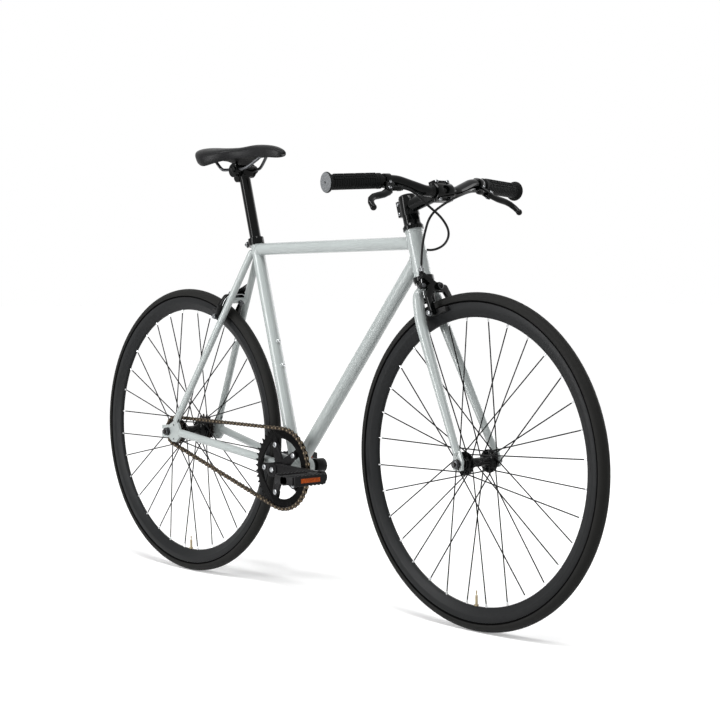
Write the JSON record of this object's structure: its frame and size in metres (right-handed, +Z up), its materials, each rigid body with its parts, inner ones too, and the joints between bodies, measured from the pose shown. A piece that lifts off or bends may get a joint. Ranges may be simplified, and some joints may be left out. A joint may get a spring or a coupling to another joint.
{
  "type": "fixed gear bicycle",
  "caption": "City fixed gear bicycle with diamond steel frame, track ends, deep rims, riser bar, side-pull brakes and a single chain drive that turns the cranks with the rear wheel.",
  "frame": {"origin": "on the ground midway between the two wheels, in the bicycle's middle plane", "axes": "+X forward along the bicycle, +Y to the rider's left, +Z up"},
  "size_m": [1.6255, 0.539, 0.997],
  "materials": {
    "frame_paint": "glossy pale grey paint",
    "steerer_steel": "bright steel",
    "black_alloy": "black coating, satin",
    "rim_black": "black anodised, satin",
    "spoke_steel": "blackened steel",
    "drive_steel": "brown oiled steel",
    "tyre_rubber": "matte rubber",
    "tube_rubber": "matte rubber",
    "cable_plastic": "smooth plastic sheath",
    "pedal_plastic": "moulded plastic",
    "rail_steel": "blackened steel rod",
    "saddle_cover": "synthetic leather"
  },
  "bodies": {
    "frame": {"head_tube": "frame_paint", "top_tube": "frame_paint", "down_tube": "frame_paint", "seat_tube": "frame_paint", "bottom_bracket_shell": "frame_paint", "chainstays": "frame_paint", "seatstays": "frame_paint", "rear_dropouts": "frame_paint", "stay_bridges": "frame_paint", "headset_cups": "black_alloy", "seat_clamp": "black_alloy", "bottom_bracket_cups": "black_alloy", "rear_axle": "steerer_steel", "chain": "drive_steel", "rear_brake_cable": "cable_plastic", "cable_clips": "cable_plastic", "rear_brake_bolt": "steerer_steel"},
    "steering": {"fork_steerer": "steerer_steel", "fork_blades": "frame_paint", "headset_stack": "black_alloy", "stem": "black_alloy", "stem_faceplate": "black_alloy", "handlebar": "black_alloy", "grips": "tube_rubber", "brake_brackets": "black_alloy", "front_brake_cable": "cable_plastic", "front_brake_bolt": "steerer_steel", "front_axle": "steerer_steel"},
    "front_wheel": {"front_hub": "rim_black", "front_spokes": "spoke_steel", "front_rim": "rim_black", "front_tyre": "tyre_rubber", "front_inner_tube": "tube_rubber"},
    "rear_wheel": {"rear_hub": "rim_black", "rear_spokes": "spoke_steel", "rear_rim": "rim_black", "rear_tyre": "tyre_rubber", "rear_inner_tube": "tube_rubber", "rear_cog": "drive_steel", "rear_freewheel": "drive_steel"},
    "crankset": {"bottom_bracket_spindle": "steerer_steel", "crank_right": "black_alloy", "crank_left": "black_alloy", "chainring": "black_alloy", "chainring_bolts": "steerer_steel", "pedal_spindles": "steerer_steel"},
    "right_pedal": {"pedal_right": "pedal_plastic"},
    "left_pedal": {"pedal_left": "pedal_plastic"},
    "right_lever": {"brake_lever_right": "black_alloy"},
    "left_lever": {"brake_lever_left": "black_alloy"},
    "front_right_arm": {"front_brake_arm_right": "black_alloy"},
    "front_left_arm": {"front_brake_arm_left": "black_alloy"},
    "rear_left_arm": {"rear_brake_arm_left": "black_alloy"},
    "rear_right_arm": {"rear_brake_arm_right": "black_alloy"},
    "seat": {"seatpost": "black_alloy", "saddle_clamp": "black_alloy", "saddle_rails": "rail_steel", "saddle_base": "pedal_plastic", "saddle_pad": "saddle_cover"}
  },
  "joints": [
    {"name": "steer", "type": "hinge", "parent": "frame", "child": "steering", "pos_m": [0.32274, 0, 0.70128], "axis": [-0.284, 0, 0.9588], "range_deg": [-75, 75], "deforming": ["rear_brake_cable"]},
    {"name": "front_wheel_spin", "type": "hinge", "parent": "steering", "child": "front_wheel", "pos_m": [0.47683, 0, 0.336], "axis": [0, 1, 0], "continuous": true},
    {"name": "rear_wheel_spin", "type": "hinge", "parent": "frame", "child": "rear_wheel", "pos_m": [-0.47683, 0, 0.336], "axis": [0, 1, 0], "continuous": true, "deforming": ["chain"]},
    {"name": "crank_spin", "type": "hinge", "parent": "frame", "child": "crankset", "pos_m": [-0.07847, 0, 0.279], "axis": [0, 1, 0], "continuous": true},
    {"name": "pedal_right_spin", "type": "hinge", "parent": "crankset", "child": "right_pedal", "pos_m": [0.09153, 0, 0.279], "axis": [0, 1, 0], "continuous": true},
    {"name": "pedal_left_spin", "type": "hinge", "parent": "crankset", "child": "left_pedal", "pos_m": [-0.24847, 0, 0.279], "axis": [0, 1, 0], "continuous": true},
    {"name": "brake_lever_right", "type": "hinge", "parent": "steering", "child": "right_lever", "pos_m": [0.37128, -0.14103, 0.87001], "axis": [-0.6489, 0.147, -0.7465], "range_deg": [0, 22], "stiffness_Nm_per_rad": 1.5, "springref_deg": -8.59, "deforming": ["rear_brake_cable"]},
    {"name": "brake_lever_left", "type": "hinge", "parent": "steering", "child": "left_lever", "pos_m": [0.37128, 0.14103, 0.87001], "axis": [0.6489, 0.147, 0.7465], "range_deg": [0, 22], "stiffness_Nm_per_rad": 1.5, "springref_deg": -8.59, "deforming": ["front_brake_cable"]},
    {"name": "front_brake_right", "type": "hinge", "parent": "steering", "child": "front_right_arm", "pos_m": [0.33154, 0, 0.67156], "axis": [0.9588, 0, 0.284], "range_deg": [0, 2]},
    {"name": "front_brake_left", "type": "hinge", "parent": "steering", "child": "front_left_arm", "pos_m": [0.33154, 0, 0.67156], "axis": [-0.9588, 0, -0.284], "range_deg": [0, 2]},
    {"name": "rear_brake_left", "type": "hinge", "parent": "frame", "child": "rear_left_arm", "pos_m": [-0.28859, 0, 0.64667], "axis": [-0.8738, 0, 0.4863], "range_deg": [0, 2]},
    {"name": "rear_brake_right", "type": "hinge", "parent": "frame", "child": "rear_right_arm", "pos_m": [-0.28859, 0, 0.64667], "axis": [0.8738, 0, -0.4863], "range_deg": [0, 2]},
    {"name": "saddle_height", "type": "slide", "parent": "frame", "child": "seat", "axis": [-0.2756, 0, 0.9613], "range_m": [-0.06, 0.04]}
  ],
  "couplings": [
    {"joint": "crank_spin", "follows": "rear_wheel_spin", "ratio": 0.36364},
    {"joint": "front_brake_right", "follows": "brake_lever_left", "ratio": 0.086364},
    {"joint": "front_brake_left", "follows": "brake_lever_left", "ratio": 0.086364},
    {"joint": "rear_brake_left", "follows": "brake_lever_right", "ratio": 0.086364},
    {"joint": "rear_brake_right", "follows": "brake_lever_right", "ratio": 0.086364}
  ]
}
